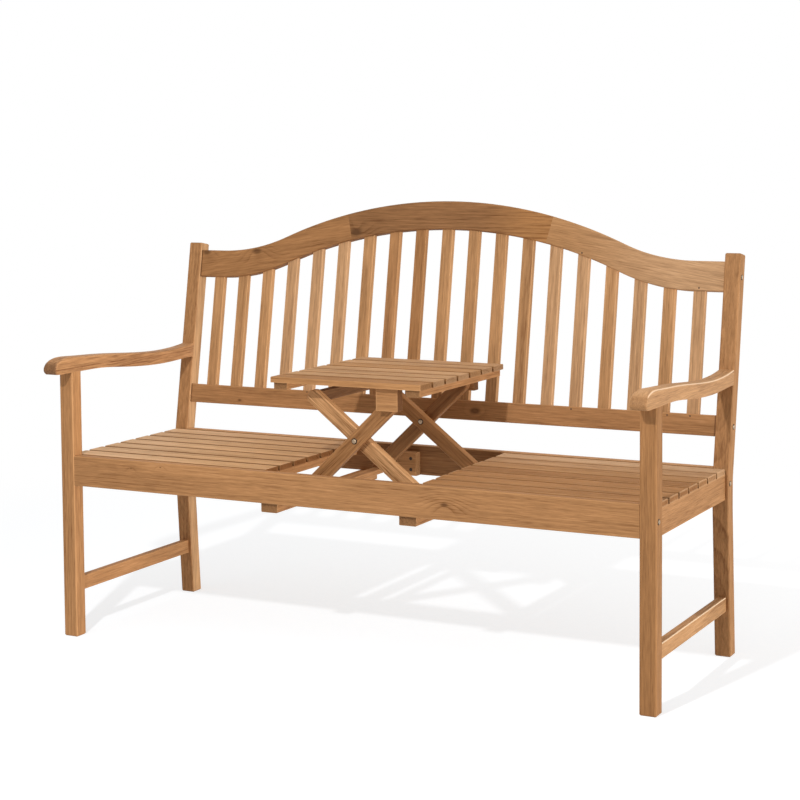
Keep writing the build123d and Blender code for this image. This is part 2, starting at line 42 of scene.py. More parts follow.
class Value:
    # a socket that maths can be written with
    def __init__(self, finish, socket):
        self.finish = finish
        self.socket = socket

    def use(self, operation, *others):
        return self.finish.math(operation, self, *others)

    def __add__(self, other):
        return self.finish.math("ADD", self, other)

    def __radd__(self, other):
        return self.finish.math("ADD", other, self)

    def __sub__(self, other):
        return self.finish.math("SUBTRACT", self, other)

    def __rsub__(self, other):
        return self.finish.math("SUBTRACT", other, self)

    def __mul__(self, other):
        return self.finish.math("MULTIPLY", self, other)

    def __rmul__(self, other):
        return self.finish.math("MULTIPLY", other, self)

    def __truediv__(self, other):
        return self.finish.math("DIVIDE", self, other)

    def __rtruediv__(self, other):
        return self.finish.math("DIVIDE", other, self)

    def __pow__(self, other):
        return self.finish.math("POWER", self, other)

    def __rpow__(self, other):
        return self.finish.math("POWER", other, self)


class Finish:
    # a material or a world, and the node calls that fill it
    def __init__(self, owner, startName, endName):
        owner.use_nodes = True
        self.owner = owner
        self.tree = owner.node_tree
        self.shader = self.tree.nodes[startName]
        self.output = self.tree.nodes[endName]

    def add(self, kind, settings=None, values=None, out=0):
        node = self.tree.nodes.new(kind)
        for key, value in (settings or {}).items():
            if key == "stops":
                ramp = node.color_ramp
                while len(ramp.elements) < len(value):
                    ramp.elements.new(0.5)
                for element, (position, colour) in zip(ramp.elements, value):
                    element.position = position
                    element.color = (*colour, 1)
            else:
                setattr(node, key, value)
        for key, value in (values or {}).items():
            self.feed(node.inputs[key], value)
        if isinstance(out, tuple):
            return [Value(self, node.outputs[each]) for each in out]
        return Value(self, node.outputs[out])

    def feed(self, socket, value):
        if isinstance(value, Value):
            self.tree.links.new(value.socket, socket)
        else:
            socket.default_value = value

    def math(self, operation, *values):
        return self.add("ShaderNodeMath", {"operation": operation}, dict(enumerate(values)))

    def vector(self, operation, first, second=(0, 0, 0), out=0):
        return self.add("ShaderNodeVectorMath", {"operation": operation}, {0: first, 1: second}, out)

    def noise(self, place, stretch, detail, roughness=0.55):
        scaled = self.vector("MULTIPLY", place, stretch)
        return self.add("ShaderNodeTexNoise", None,
                        {"Vector": scaled, "Scale": 1.0, "Detail": detail, "Roughness": roughness})

    def smooth(self, value, low, high, fromValue=0.0, toValue=1.0):
        return self.add("ShaderNodeMapRange", {"interpolation_type": "SMOOTHSTEP"},
                        {0: value, 1: low, 2: high, 3: fromValue, 4: toValue})

    def mix(self, factor, first, second, blend="MIX"):
        return self.add("ShaderNodeMix", {"data_type": "RGBA", "blend_type": blend},
                        {0: factor, 6: first, 7: second}, 2)

    def split(self, vector):
        return self.add("ShaderNodeSeparateXYZ", None, {0: vector}, (0, 1, 2))

    def seen(self):
        # what the camera sees, straight or in metal
        rays = self.add("ShaderNodeLightPath", None, None,
                        ("Is Camera Ray", "Is Glossy Ray", "Is Transmission Ray"))
        return rays[0].use("MAXIMUM", rays[1].use("MAXIMUM", rays[2]))

    def surface(self, **values):
        for key, value in values.items():
            self.feed(self.shader.inputs[key.replace("_", " ")], value)
        return self.owner


def newFinish(name):
    return Finish(bpy.data.materials.new(name), "Principled BSDF", "Material Output")


def linear(red, green, blue):
    # from the levels a screen shows, 0 to 255
    def one(level):
        level /= 255
        return level / 12.92 if level <= 0.04045 else ((level + 0.055) / 1.055) ** 2.4
    return one(red), one(green), one(blue)


black, white = (0, 0, 0, 1), (1, 1, 1, 1)

# Wood

boards = {  # the timbers the bench is made up from
    "light": linear(214, 172, 130),
    "pale": linear(196, 151, 108),
    "honey": linear(186, 138, 92),
    "mid": linear(174, 125, 80),
    "brown": linear(163, 115, 71),
    "dark": linear(147, 103, 64),
    # painted shade: a dark tone for a piece that sits in shade under the table
    "paintedShadeUmber": linear(116, 80, 50),
}

woodSettings = {  # what all the wood shares; a piece's own entry in woods goes before these
    # noises: how often along and across the grain, detail, roughness
    "driftNoise": ((1.3, 10, 10), 2.0),
    "figureNoise": ((2.6, 22, 22), 3.0, 0.6),
    "wanderNoise": ((1.1, 5, 5), 1.0),
    "rippleNoise": ((6, 40, 40), 2.0),
    "streakNoise": ((9, 230, 230), 4.0, 0.66),
    "threadNoise": ((26, 560, 560), 2.0, 0.6),
    "fadeNoise": ((1.6, 15, 15), 1.0),
    "lineNoise": ((3.4, 190, 190), 3.0, 0.6),
    "poreNoise": ((16, 1300, 1300), 1.0),
    # where a noise begins to show, and where it shows in full
    "figureCut": (0.48, 0.74),
    "fadeCut": (0.34, 0.66),
    "lineCut": (0.54, 0.66),
    "poreCut": (0.60, 0.74),
    # where the grain is cut from, and how far it is parted along and across in a pair
    "seedRange": (3, 40),
    "pairShift": (2.7, 0.013),
    # growth rings
    "ringGap": 0.0095,
    "ringWander": 0.026,
    "ringRipple": 0.0030,
    "ringSlant": 0.014,
    "ringRise": 2.4,          # slow into the late wood, then a quick end
    "ringEnd": (0.90, 1.0),
    "pithReach": (0.035, 0.11),
    # knots: each piece gives place, size, and how many sizes the rings bend round it
    "knots": (),
    "knotStretch": 0.45,      # longer along the grain
    "knotBend": 0.46,
    "knotRagged": 0.002,
    "knotCore": 0.25,
    "knotDark": 0.72,
    "knotTone": 0.45,
    # shade of plain wood, and how much each thing lightens or darkens it
    "plain": 0.52,
    "drift": 0.46,
    "streak": 1.05,
    "thread": 0.95,
    "fibre": 1.0,             # scales streak and thread
    "figure": 0.15,
    "lateWood": 0.34,
    "lined": 0.13,
    "pore": 0.18,
    # ramp from deep to pale, as shares of the board's colour; between them the place and its share
    "deepTone": (0.48, 0.39, 0.31),
    "paleTone": (1.34, 1.44, 1.58),
    "rampStops": ((0.34, 0.80), (0.60, 1.02)),
    # lighter along straight edges, wear and painted highlight together, and a painted highlight line along a
    # rounded one
    "straight": True,
    "edgeWearAndHighlight": 0.48,
    "edgeWidth": 0.0036,
    "edgeRagged": 0.004,
    "highlightLineFull": 0.48,
    "highlightLineTone": linear(236, 206, 172),
    # end grain drinks more oil; some pieces set darker ends, painted shade on top of that
    "ends": (0.80, 0.97),
    "endTone": (0.62, 0.62, 0.62),
    # painted light on faces that look one way, and painted shade on the sides of a gap
    "paintedLightCut": (0.5, 0.9),
    "gapShadeCut": (0.25, 0.60),
    "openFront": False,
    # dark line at the inner faces of the posts
    "shoulderAt": 0.712,
    "shoulderWidth": 0.0055,
    "shoulderTone": 0.4,
    # gloss and relief
    "gloss": 0.16,
    "roughness": 0.64,
    "shadeRough": 0.16,
    "poreRough": 0.10,
    "streakRise": 0.5,
    "threadRise": 0.3,
    "poreSink": 0.55,
    "ringSink": 0.22,
    "bump": 0.32,
    "bumpDepth": 0.0008,
}


def grainTurn(look):
    first = Vector(look["along"]).normalized()
    third = first.cross(Vector(look["across"])).normalized()
    second = third.cross(first)
    return Matrix((first, second, third)).transposed()


def settle(name, look):
    # where the piece's middle is and how far it reaches, along and across its grain
    points = [vert.co.copy() for vert in nodes[name].data.vertices]
    if "pair" in look:
        axis = "xyz".index(look["pair"])
        reach = [point[axis] for point in points]
        look["fold"] = (min(reach) + max(reach)) / 2
        for point in points:
            point[axis] = look["fold"] + abs(point[axis] - look["fold"])
    turn = grainTurn(look)
    turned = [turn.transposed() @ point for point in points]
    low = Vector([min(point[way] for point in turned) for way in range(3)])
    high = Vector([max(point[way] for point in turned) for way in range(3)])
    look["centre"] = turn @ ((low + high) / 2)
    look["half"] = (high - low) / 2


def woodFinish(name, look):
    own = {**woodSettings, **look}
    draw = random.Random(name)
    finish = newFinish("wood_" + name)
    coords = finish.add("ShaderNodeTexCoord", None, None, "Object")
    normal = finish.add("ShaderNodeTexCoord", None, None, "Normal")
    grain = Vector(own["along"]).normalized()
    seed = draw.uniform(*own["seedRange"])
    shift = (seed, 0, 0)
    if "pair" in own:  # two pieces in one node: fold them together, then part their grain
        parts = finish.split(coords)
        axis = "xyz".index(own["pair"])
        offset = parts[axis] - own["fold"]
        side = offset.use("SIGN")
        rightSide = finish.smooth(side, -1.0, 1.0)
        parts[axis] = offset.use("ABSOLUTE") + own["fold"]
        coords = finish.add("ShaderNodeCombineXYZ", None, dict(enumerate(parts)))
        shiftAlong, shiftAcross = own["pairShift"]
        shift = finish.add("ShaderNodeCombineXYZ", None,
                           {0: side * shiftAlong + seed, 1: side * shiftAcross})
    local = finish.add("ShaderNodeMapping", {"vector_type": "TEXTURE"}, {
        "Vector": coords, "Location": own["centre"], "Rotation": grainTurn(own).to_euler("XYZ")})
    place = finish.vector("ADD", local, shift)
    along, across, through = finish.split(place)

    drift = finish.noise(place, *own["driftNoise"])
    figure = finish.smooth(finish.noise(place, *own["figureNoise"]), *own["figureCut"])
    wander = finish.noise(place, *own["wanderNoise"]) - 0.5
    ripple = finish.noise(place, *own["rippleNoise"]) - 0.5
    streak = finish.noise(place, *own["streakNoise"])
    thread = finish.noise(place, *own["threadNoise"])
    fade = finish.smooth(finish.noise(place, *own["fadeNoise"]), *own["fadeCut"])
    line = finish.smooth(finish.noise(place, *own["lineNoise"]), *own["lineCut"])
    pore = finish.smooth(finish.noise(place, *own["poreNoise"]), *own["poreCut"])

    # rings round a pith that lies off to one side of the board
    pithAngle = draw.uniform(0, 2 * math.pi)
    pithReach = draw.uniform(*own["pithReach"])
    aside = across - pithReach * math.cos(pithAngle)
    above = through - pithReach * math.sin(pithAngle)
    radius = (aside * aside + above * above).use("SQRT")
    radius = radius + along * draw.uniform(-own["ringSlant"], own["ringSlant"])
    radius = radius + wander * own["ringWander"] + ripple * own["ringRipple"]
    squeeze = tuple(1 - own["knotStretch"] * abs(part) for part in grain)
    knotMask, swirl = 0.0, 0.0
    for spot, size, reach in own["knots"]:
        gap = finish.vector("MULTIPLY", finish.vector("SUBTRACT", coords, spot), squeeze)
        far = finish.vector("LENGTH", gap, out="Value")
        bend = finish.smooth(far, 0.0, size * reach, 1.0, 0.0)
        radius = radius + bend * bend * (size * reach * own["knotBend"])
        swirl = swirl + bend * bend
        core = finish.smooth(far + ripple * own["knotRagged"], size * own["knotCore"], size, 1.0, 0.0)
        knotMask = core.use("MAXIMUM", knotMask)
    year = (radius / own["ringGap"]).use("FRACT")
    lateWood = year ** own["ringRise"] * finish.smooth(year, *own["ringEnd"], 1.0, 0.0) * (fade + swirl)

    shade = own["plain"] + (drift - 0.5) * own["drift"]
    shade = shade + (streak - 0.5) * (own["streak"] * own["fibre"])
    shade = shade + (thread - 0.5) * (own["thread"] * own["fibre"]) + figure * own["figure"]
    shade = shade - lateWood * own["lateWood"] - line * own["lined"] - pore * own["pore"]
    base = Vector(boards[own["board"]])
    deep = Vector([part * share for part, share in zip(base, own["deepTone"])])
    pale = Vector([part * share for part, share in zip(base, own["paleTone"])])
    between = [(stop, base * share) for stop, share in own["rampStops"]]
    colour = finish.add("ShaderNodeValToRGB", {"stops": [(0.0, deep), *between, (1.0, pale)]}, {0: shade})
    if "rightBoard" in own:  # the right-hand piece is from another board
        change = [new / old for new, old in zip(boards[own["rightBoard"]], base)]
        colour = finish.mix(rightSide, colour, (*change, 1), "MULTIPLY")
    if "wash" in own:  # the tone changes along the bench; of a pair, on the left-hand piece alone
        start, end, startTone, endTone = own["wash"]
        run = finish.smooth(finish.split(coords)[0], start, end)
        if "pair" in own:
            run = run * (1.0 - rightSide)
        tone = finish.mix(run, (*startTone, 1), (*endTone, 1))
        colour = finish.mix(1.0, colour, tone, "MULTIPLY")
    if own["straight"]:  # the middle one of the three ways out is how near an edge is
        inward = finish.vector("SUBTRACT", own["half"], finish.vector("ABSOLUTE", local))
        one, two, three = finish.split(inward)
        edge = one.use("MINIMUM", two).use("MAXIMUM", one.use("MAXIMUM", two).use("MINIMUM", three))
        ragged = edge + (streak - 0.5) * own["edgeRagged"]
        # paler near an edge: wear and painted highlight together
        edgeWearAndHighlight = finish.smooth(ragged, 0.0, own["edgeWidth"], own["edgeWearAndHighlight"], 0.0)
        colour = finish.mix(edgeWearAndHighlight, colour, (*pale, 1))
    # ends darker: end grain, and where a piece sets its own darker tone, painted shade as well
    endGrain = finish.vector("DOT_PRODUCT", normal, grain, "Value").use("ABSOLUTE")
    endTone = (*own["endTone"], 1)
    if "rightEndTone" in own:
        endTone = finish.mix(rightSide, endTone, (*own["rightEndTone"], 1))
    colour = finish.mix(finish.smooth(endGrain, *own["ends"]), colour, endTone, "MULTIPLY")
    if "paintedLightFace" in own:  # painted light: paler on the faces that look one way, as if lit
        way, tone = own["paintedLightFace"]
        facing = finish.split(normal)["xyz".index(way)]
        colour = finish.mix(finish.smooth(facing, *own["paintedLightCut"]), colour, (*tone, 1), "MULTIPLY")
    if "shoulder" in own:  # a dark line where the rail meets the post
        reach = finish.split(coords)[0].use("ABSOLUTE")
        start = own["shoulderAt"] - own["shoulderWidth"]
        near = finish.smooth(reach, start, own["shoulderAt"], 0.0, own["shoulder"])
        colour = finish.mix(near, colour, (*(deep * own["shoulderTone"]), 1))
    if "highlightLine" in own:  # painted highlight: a pale line along the rounded outer edge
        start, share = own["highlightLine"]
        outward, _, upward = finish.split(normal)
        rounded = finish.smooth(outward * upward, start, own["highlightLineFull"], 0.0, share)
        colour = finish.mix(rounded, colour, (*own["highlightLineTone"], 1))
    if "gapShade" in own:  # painted shade on the sides of the gaps between slats
        sideways = finish.vector("DOT_PRODUCT", normal, own["across"], "Value")
        if not own["openFront"]:
            sideways = sideways.use("ABSOLUTE")
        gapShadeColour = (*own["gapShade"], 1)
        if "rightGapShade" in own:
            gapShadeColour = finish.mix(rightSide, gapShadeColour, (*own["rightGapShade"], 1))
        colour = finish.mix(finish.smooth(sideways, *own["gapShadeCut"]), colour, gapShadeColour, "MULTIPLY")
    if own["knots"]:
        colour = finish.mix(knotMask * own["knotDark"], colour, (*(deep * own["knotTone"]), 1))
    rough = own["roughness"] - (shade - 0.5) * own["shadeRough"] + pore * own["poreRough"]
    height = streak * own["streakRise"] + thread * own["threadRise"]
    height = height - pore * own["poreSink"] - lateWood * own["ringSink"]
    bump = finish.add("ShaderNodeBump", None,
                      {"Strength": own["bump"], "Distance": own["bumpDepth"], "Height": height})
    return finish.surface(Base_Color=colour, Roughness=rough, Normal=bump, Specular_IOR_Level=own["gloss"])


def dress(name, material):
    node = nodes[name]
    node.data.materials.clear()
    node.data.materials.append(material)


lean = math.radians(9.75)  # of the back
innerTilt, outerTilt = math.radians(38), math.radians(43.5)  # of the crossed legs, table raised
xWay, yWay, zWay = (1, 0, 0), (0, 1, 0), (0, 0, 1)
postWay = (0, 0.07, 1)
leanWay = (0, math.sin(lean), math.cos(lean))
innerWay = (-math.cos(innerTilt), 0, math.sin(innerTilt))
outerWay = (math.cos(outerTilt), 0, math.sin(outerTilt))

woods = {  # board, way of the grain, way across it, and what else the piece has
    # paler arrises raised on some legs and bars: wear and painted highlight together
    "front_leg_left": {"board": "mid", "along": zWay, "across": xWay, "edgeWearAndHighlight": 0.8},
    "front_leg_right": {"board": "brown", "along": zWay, "across": xWay},
    # the left post's right-facing side is paler: painted light
    "rear_post_left": {
        "board": "mid", "along": postWay, "across": xWay, "straight": False,
        "paintedLightFace": ("x", (1.22, 1.40, 1.66))},
    "rear_post_right": {"board": "mid", "along": postWay, "across": xWay, "straight": False},
    "arm_left": {
        "board": "mid", "along": yWay, "across": xWay, "straight": False, "ends": (0.30, 0.80),
        # the nose darker still: painted shade on top of the end grain
        "endTone": (0.50, 0.47, 0.44), "gloss": 0.3, "fibre": 1.3, "lined": 0.36,
        "knots": (((-0.725, -0.093, 0.652), 0.005, 6.5),)},
    "arm_right": {
        "board": "honey", "along": yWay, "across": xWay, "straight": False, "ends": (0.30, 0.80),
        # painted highlight along the arm's rounded outer edge
        "endTone": (0.74, 0.70, 0.64), "gloss": 0.3, "highlightLine": (0.36, 0.75)},
    "side_seat_rail_left": {"board": "mid", "along": yWay, "across": zWay},
    "side_seat_rail_right": {"board": "mid", "along": yWay, "across": zWay},
    "side_stretcher_left": {"board": "mid", "along": yWay, "across": zWay},
    "side_stretcher_right": {
        # painted highlight along the stretcher's top edge, and paler arrises, wear and painted highlight
        # together
        "board": "honey", "along": yWay, "across": zWay, "edgeWearAndHighlight": 0.85, "highlightLine": (0.10, 1.0)},
    "front_seat_rail": {
        "board": "mid", "along": xWay, "across": zWay,
        "knots": (((0.270, -0.2761, 0.401), 0.007, 9.0), ((-0.547, -0.2751, 0.421), 0.0018, 12.0),
                  ((-0.464, -0.2751, 0.429), 0.0018, 12.0)),
        "wash": (-0.75, -0.10, (0.96, 0.95, 0.94), (1, 1, 1))},
    # rear seat rail: a dark board matched to its shaded inner face, with painted light on its top
    "rear_seat_rail": {"board": "dark", "along": xWay, "across": zWay, "paintedLightFace": ("z", (1.9, 2.1, 2.4))},
    "lower_back_rail": {
        "board": "mid", "along": xWay, "across": leanWay, "shoulder": 0.85,
        "knots": (((0.109, 0.228, 0.530), 0.011, 2.6), ((-0.561, 0.228, 0.519), 0.0048, 3.5))},
    "crest_rail_left": {
        "board": "brown", "along": (1, 0.02, 0.16), "across": leanWay, "straight": False, "shoulder": 0.85,
        "knots": (((-0.697, 0.291, 0.897), 0.010, 5.5), ((-0.543, 0.292, 0.902), 0.011, 5.5))},
    "crest_rail_centre": {
        "board": "dark", "along": xWay, "across": leanWay, "straight": False,
        "knots": (((-0.2546, 0.301, 0.955), 0.014, 5.0),),
        "wash": (0.06, 0.26, (1, 1, 1), (1.50, 1.50, 1.35))},
    "crest_rail_right": {
        "board": "honey", "along": (1, -0.02, -0.16), "across": leanWay, "straight": False,
        "wash": (0.26, 0.62, (0.90, 0.88, 0.84), (1.10, 1.22, 1.45))},
    "seat_battens": {"board": "mid", "along": yWay, "across": xWay, "pair": "x"},
    "bearers": {"board": "mid", "along": yWay, "across": xWay, "pair": "x"},
    "rest_blocks": {"board": "mid", "along": xWay, "across": zWay, "pair": "y"},
    "hinge_brackets": {"board": "mid", "along": xWay, "across": zWay, "pair": "y"},
    "inner_leg_front": {
        "board": "honey", "along": innerWay, "across": yWay, "edgeWearAndHighlight": 0.8, "lined": 0.34, "fibre": 1.7},
    "inner_leg_rear": {"board": "brown", "along": innerWay, "across": yWay},
    # the crossbar's dark tone is painted shade from the table above
    "inner_crossbar": {"board": "paintedShadeUmber", "along": yWay, "across": xWay},
    # the leg's darker board is partly painted shade, matched to its shaded lower part; paler arrises are wear
    # and painted highlight together
    "outer_leg_front": {"board": "brown", "along": outerWay, "across": yWay, "edgeWearAndHighlight": 0.7, "fibre": 1.2},
    "outer_leg_rear": {"board": "dark", "along": outerWay, "across": yWay},
    "outer_crossbar": {"board": "mid", "along": yWay, "across": xWay},
    "table_battens": {"board": "mid", "along": yWay, "across": xWay, "pair": "x"},
    "table_pivot_blocks": {
        # the blocks' ends dark: painted shade on top of the end grain
        "board": "mid", "along": xWay, "across": zWay, "pair": "y", "endTone": (0.36, 0.31, 0.26)},
    "table_stop_block": {"board": "honey", "along": zWay, "across": xWay},
}

seatSettings = {
    "board": "light", "along": xWay, "across": yWay, "pair": "x", "gloss": 0.08,
    # painted shade on the sides of the gaps between seat slats, lighter on the right-hand seat
    "gapShade": (0.36, 0.29, 0.22), "rightGapShade": (0.52, 0.44, 0.35),
    # the left-hand slats' ends, at the opening, dark with painted shade; the right-hand ends darker as end
    # grain
    "endTone": (0.34, 0.24, 0.16), "rightEndTone": (0.72, 0.66, 0.60),
    "wash": (0.66, 0.28, (1, 1, 1), (0.91, 0.84, 0.74))}
seatRightBoards = ("mid", "mid", "mid", "mid", "honey", "pale", "light")  # from the front
# painted shade on the sides of the gaps between table slats, left off the front slat's open front face
tableSettings = {"along": xWay, "across": yWay, "gloss": 0.10, "gapShade": (0.46, 0.38, 0.29)}
tableBoards = ("mid", "pale", "pale", "pale", "honey", "pale", "pale")
for number, (seatBoard, tableBoard) in enumerate(zip(seatRightBoards, tableBoards), 1):
    woods[f"seat_slats_{number}"] = {**seatSettings, "rightBoard": seatBoard}
    woods[f"table_slat_{number}"] = {**tableSettings, "board": tableBoard, "openFront": number == 1}

backSettings = {"along": leanWay, "across": xWay}
backBoards = (  # left and right slat, from the middle outwards
    ("brown", "honey"), ("mid", "honey"), ("honey", "honey"), ("pale", "pale"), ("pale", "pale"),
    ("pale", "honey"), ("honey", "pale"), ("honey", "honey"), ("honey", "pale"))
woods["back_slats_0"] = {**backSettings, "board": "honey"}
for number, (leftBoard, rightBoard) in enumerate(backBoards, 1):
    woods[f"back_slats_{number}"] = {
        **backSettings, "board": leftBoard, "rightBoard": rightBoard, "pair": "x"}
woods["back_slats_7"]["knots"] = (((0.520, 0.268, 0.762), 0.004, 3.5),)

for name, look in woods.items():
    settle(name, look)
    dress(name, woodFinish(name, look))
print("wood on", len(woods), "nodes")

# Steel

steelSettings = {
    "colour": (0.50, 0.38, 0.26), "dullColour": (0.30, 0.22, 0.15),
    "blotchNoise": ((90, 90, 90), 3.0), "scratchNoise": ((300, 2400, 1100), 2.0), "dullCut": (0.35, 0.75),
    "roughness": 0.36, "dullRough": 0.2, "scratchRough": 0.08, "bump": 0.12, "bumpDepth": 0.0003}
# dark steel: grime, and painted shade in the washer rims, the sockets and the holes of the small screws and
# nails
grimeAndShadeSettings = {
    "colour": (0.028, 0.019, 0.012), "dustColour": (0.075, 0.052, 0.034), "dustNoise": ((240, 240, 240), 3.0),
    "roughness": 0.55, "dustRough": 0.3, "metal": 0.35}


def steelFinish(name, own):
    finish = newFinish(name)
    place = finish.add("ShaderNodeTexCoord", None, None, "Object")
    scratch = finish.noise(place, *own["scratchNoise"])
    dull = finish.smooth(finish.noise(place, *own["blotchNoise"]), *own["dullCut"])
    colour = finish.mix(dull, (*own["colour"], 1), (*own["dullColour"], 1))
    bump = finish.add("ShaderNodeBump", None,
                      {"Strength": own["bump"], "Distance": own["bumpDepth"], "Height": scratch})
    rough = own["roughness"] + dull * own["dullRough"] + scratch * own["scratchRough"]
    return finish.surface(Base_Color=colour, Roughness=rough, Metallic=1.0, Normal=bump)


def grimeAndShadeFinish(name, own):
    finish = newFinish(name)
    place = finish.add("ShaderNodeTexCoord", None, None, "Object")
    dust = finish.noise(place, *own["dustNoise"])
    colour = finish.mix(dust, (*own["colour"], 1), (*own["dustColour"], 1))
    rough = own["roughness"] + dust * own["dustRough"]
    return finish.surface(Base_Color=colour, Roughness=rough, Metallic=own["metal"])


steel = steelFinish("zinc_steel", steelSettings)
grimeAndShadeSteel = grimeAndShadeFinish("grime_and_shade_steel", grimeAndShadeSettings)
dress("table_pivot_pins", steel)

frameSpots = ((-0.2641, 0.4030), (0.2169, 0.4030), (0.2402, 0.5289), (0.2980, 0.8654))  # y, z
blockFaces = ((-0.2331, 1), (0.1859, -1))  # y of the face, and the way it looks
nailSpots = (
    (0.3603, 0.2942, 0.9141), (0.6537, 0.2814, 0.8397), (-0.3625, 0.2317, 0.5504),
    (0.3574, 0.2314, 0.5486), (0.5949, 0.2314, 0.5484), (0.6500, 0.2315, 0.5493))
nailWay = (0, -0.9856, 0.1694)  # square to the leaning back

# head and shank: radius and length; rim: radius of the dark washer, painted shade for the gap round the sunk
# head
# each spot: where the head sits, and the way it faces
fasteners = {
    "frame_bolts": {
        "body": "bench", "head": (0.0050, 0.0020), "rim": 0.0066, "shank": (0.0035, 0.078),
        "spots": [((side * 0.750, y, z), (side, 0, 0)) for side in (-1, 1) for y, z in frameSpots]},
    "crossing_bolts": {
        "body": "outer_frame", "head": (0.0052, 0.0030), "rim": 0.0070, "shank": (0.0040, 0.0406),
        "nut": True, "spots": [((0.0080, y, 0.5100), (0, -1, 0)) for y in (-0.1961, 0.1353)]},
    "hinge_bolts": {
        "body": "bench", "head": (0.0052, 0.0030), "rim": 0.0070, "shank": (0.0040, 0.0503),
        "spots": [((0.16545, -0.1555, 0.3870), (0, 1, 0)), ((0.16545, 0.1353, 0.3870), (0, -1, 0))]},
    "block_screws": {
        "body": "bench", "head": (0.0032, 0.0012), "rim": 0.0042, "shank": (0.0030, 0.0160),
        # the block screws are dark all over: painted shade of their holes
        "grimeAndShade": True,
        "spots": [((-0.0450, y, z), (0, way, 0)) for y, way in blockFaces for z in (0.3820, 0.4090)]},
    "back_nails": {
        "body": "bench", "head": (0.0016, 0.0010), "rim": 0.0019, "shank": (0.0010, 0.0120),
        "grimeAndShade": True, "new": True, "spots": [(spot, nailWay) for spot in nailSpots]},
}
boltSettings = {
    "sides": 28,
    "tip": (0.86, 0.985),  # shares of the shank's radius and length where its tip is rounded off
    "profile": (  # over the head into its socket: whose radius, share of it, share of the height, dark for grime and painted shade
        ("rim", 1.0, 0.0, 1), ("rim", 1.0, 0.14, 1), ("rim", 0.94, 0.22, 1), ("head", 1.0, 0.22, 1),
        ("head", 1.0, 0.60, 0), ("head", 0.92, 0.80, 0), ("head", 0.76, 0.94, 0), ("head", 0.62, 1.0, 0),
        ("head", 0.56, 0.97, 1), ("head", 0.54, 0.35, 1)),
    "nutSides": 6, "nutWidth": 1.1, "nutBody": 0.85, "nutCap": 0.15, "nutCapWidth": 0.9,  # shares of the head
    "sharpAngle": 38,
}


def pull(form, face, rise, widen=1.0):
    # extrudes a face along the bolt's axis and widens or narrows it
    grown = bmesh.ops.extrude_face_region(form, geom=[face])["geom"]
    verts = [part for part in grown if isinstance(part, bmesh.types.BMVert)]
    bmesh.ops.scale(form, vec=(widen, widen, 1), verts=verts)
    bmesh.ops.translate(form, vec=(0, 0, rise), verts=verts)
    return next(part for part in grown if isinstance(part, bmesh.types.BMFace))


def disc(form, radius, sides):
    verts = bmesh.ops.create_circle(form, cap_ends=True, segments=sides, radius=radius)["verts"]
    return verts[0].link_faces[0]


def boltForm(own, shares):
    # one shell from the tip of the shank to the bottom of the socket
    head, high = own["head"]
    shank, long = own["shank"]
    radii = {"rim": own["rim"], "head": head}
    tipWidth, tipStart = shares["tip"]
    outline = [(shank, -long * tipStart, 0), (shank, 0, 0)]
    outline += [(radii[part] * wide, high * up, grimeAndShade) for part, wide, up, grimeAndShade in shares["profile"]]
    form = bmesh.new()
    radius, height = shank * tipWidth, -long
    top = disc(form, radius, shares["sides"])
    bmesh.ops.translate(form, vec=(0, 0, height), verts=form.verts)
    for nextRadius, nextHeight, grimeAndShade in outline:
        before = set(form.faces)
        top = pull(form, top, nextHeight - height, nextRadius / radius)
        for face in set(form.faces) - before:
            face.material_index = grimeAndShade
        radius, height = nextRadius, nextHeight
    if own.get("nut"):
        before = set(form.verts)
        nut = pull(form, disc(form, head * shares["nutWidth"], shares["nutSides"]), high * shares["nutBody"])
        pull(form, nut, high * shares["nutCap"], shares["nutCapWidth"])
        bmesh.ops.translate(form, vec=(0, 0, -long - high), verts=list(set(form.verts) - before))
    bmesh.ops.recalc_face_normals(form, faces=form.faces)
    return form


for name, own in fasteners.items():
    whole = bmesh.new()
    single = boltForm(own, boltSettings)
    pattern = bpy.data.meshes.new("bolt_pattern")
    single.to_mesh(pattern)
    single.free()
    for spot, way in own["spots"]:
        kept = set(whole.verts)
        whole.from_mesh(pattern)
        turn = Vector(way).to_track_quat("Z", "Y").to_matrix().to_4x4()
        added = list(set(whole.verts) - kept)
        bmesh.ops.transform(whole, matrix=Matrix.Translation(spot) @ turn, verts=added)
    bpy.data.meshes.remove(pattern)
    mesh = bpy.data.meshes.new(name + "_finished")
    whole.to_mesh(mesh)
    whole.free()
    mesh.materials.append(grimeAndShadeSteel if own.get("grimeAndShade") else steel)
    mesh.materials.append(grimeAndShadeSteel)
    mesh.shade_smooth()
    mesh.set_sharp_from_angle(angle=math.radians(boltSettings["sharpAngle"]))
    piece = bpy.data.objects.new(name + "_finished", mesh)
    bpy.context.scene.collection.objects.link(piece)
    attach(piece, own["body"])
    if not own.get("new"):
        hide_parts(name)
print("fasteners made:", len(fasteners), "kinds")

# Room: white floor, a hard key from the front, a fill from the right, soft light all round

roomSettings = {
    "floorSize": 60.0,
    "shadowTone": 0.44,             # how dark the shadows are
    "cool": 0.03,                   # against the warm light thrown back by the wood
    "white": 1.14,                  # level of the lit floor
    "shadowReach": (1.6, 2.7),      # from here on the floor turns plain white
    "bounceTone": 0.80,             # the floor as the bench sees it
    "ambient": 0.25,                # light all round, and more from above
    "overhead": 0.56,
    "ambientShare": (0.5, 0.5),     # of that on the tipped floor: always, and more the flatter it is
    "overheadShare": (0.21, 0.46),
}
keySettings = {"place": (0.23, -2.75, 2.20), "power": 180.0, "size": 0.055}
fillSettings = {"round": 90, "up": 13, "spread": 24, "away": 4, "energy": 2.15}  # round from the front
turnRound, turnUp = math.radians(fillSettings["round"]), math.radians(fillSettings["up"])
fillWay = Vector((math.sin(turnRound) * math.cos(turnUp),
                  -math.cos(turnRound) * math.cos(turnUp), math.sin(turnUp)))


